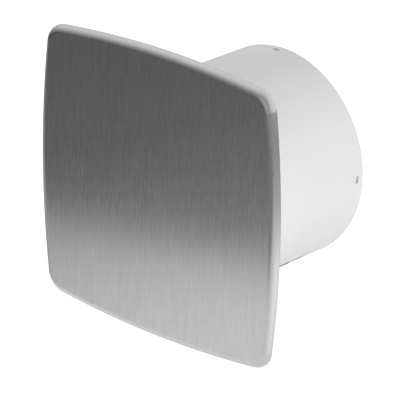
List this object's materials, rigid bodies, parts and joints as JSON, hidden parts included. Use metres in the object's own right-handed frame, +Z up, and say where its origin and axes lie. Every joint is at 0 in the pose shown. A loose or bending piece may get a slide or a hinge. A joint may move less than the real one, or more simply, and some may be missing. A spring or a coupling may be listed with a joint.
{
  "type": "bathroom extractor fan",
  "caption": "Wall extractor fan with a flat brushed front panel on clip legs, a base with a guarded throat, and a round duct housing holding motor, impeller and shutter.",
  "frame": {"origin": "on the duct axis in the wall plane, at the centre of the four wall fixing holes, on the base's rear face", "axes": "+X right as seen from the room, +Y back into the wall along the duct axis, +Z up"},
  "size_m": [0.1776, 0.106, 0.1714],
  "materials": {
    "brushed_steel_skin": "vertical brushed grain",
    "white_abs": "fine moulded satin",
    "impeller_plastic": "moulded satin",
    "zinc_steel": "zinc plated",
    "spring_steel": "bright spring steel",
    "ground_steel": "ground bright",
    "laminated_steel": "stacked laminations",
    "cast_aluminium": "as cast",
    "fibre": "hard fibre",
    "bobbin_plastic": "moulded nylon",
    "enamelled_copper": "enamelled wire",
    "bare_copper": "bare copper",
    "sintered_bronze": "oil-filled sintered bronze",
    "terminal_plastic": "moulded nylon",
    "terminal_brass": "plated brass",
    "black_rubber": "soft black rubber",
    "brown_insulation": "soft insulation",
    "blue_insulation": "soft insulation",
    "flap_plastic": "thin moulded"
  },
  "bodies": {
    "fan_body": {"base_frame": "white_abs", "inlet_guard": "white_abs", "duct_screws": "zinc_steel", "duct_housing": "white_abs", "stator_core": "laminated_steel", "coil_bobbins": "bobbin_plastic", "coil_windings": "enamelled_copper", "shading_rings": "bare_copper", "front_bracket": "cast_aluminium", "rear_bracket": "cast_aluminium", "front_bush": "sintered_bronze", "rear_bush": "sintered_bronze", "bush_retainers": "spring_steel", "motor_screws": "zinc_steel", "motor_cover": "white_abs", "cover_screws": "zinc_steel", "terminal_block": "terminal_plastic", "terminal_clamps": "terminal_brass", "terminal_screws": "zinc_steel", "terminal_lid": "white_abs", "lid_screw": "zinc_steel", "cable_grommet": "black_rubber", "lead_live": "brown_insulation", "lead_neutral": "blue_insulation", "damper_ring": "flap_plastic", "damper_pin": "ground_steel"},
    "front_cover_body": {"front_skin": "brushed_steel_skin", "front_carrier": "white_abs"},
    "rotor": {"impeller": "impeller_plastic", "impeller_clip": "spring_steel", "motor_shaft": "ground_steel", "rotor_core": "laminated_steel", "rotor_cage": "cast_aluminium", "thrust_collars": "fibre"},
    "right_flap_body": {"flap_right": "flap_plastic", "flap_spring_right": "spring_steel"},
    "left_flap_body": {"flap_left": "flap_plastic", "flap_spring_left": "spring_steel"}
  },
  "joints": [
    {"name": "front_cover", "type": "slide", "parent": "fan_body", "child": "front_cover_body", "axis": [0, -1, 0], "range_m": [0, 0.05]},
    {"name": "impeller_spin", "type": "hinge", "parent": "fan_body", "child": "rotor", "pos_m": [0, 0, 0], "axis": [0, 1, 0], "continuous": true},
    {"name": "right_flap", "type": "hinge", "parent": "fan_body", "child": "right_flap_body", "pos_m": [0, 0.0782, 0], "axis": [0, 0, 1], "range_deg": [0, 75], "stiffness_Nm_per_rad": 0.002, "springref_deg": -14.32},
    {"name": "left_flap", "type": "hinge", "parent": "fan_body", "child": "left_flap_body", "pos_m": [0, 0.0782, 0], "axis": [0, 0, -1], "range_deg": [0, 75], "stiffness_Nm_per_rad": 0.002, "springref_deg": -14.32}
  ]
}
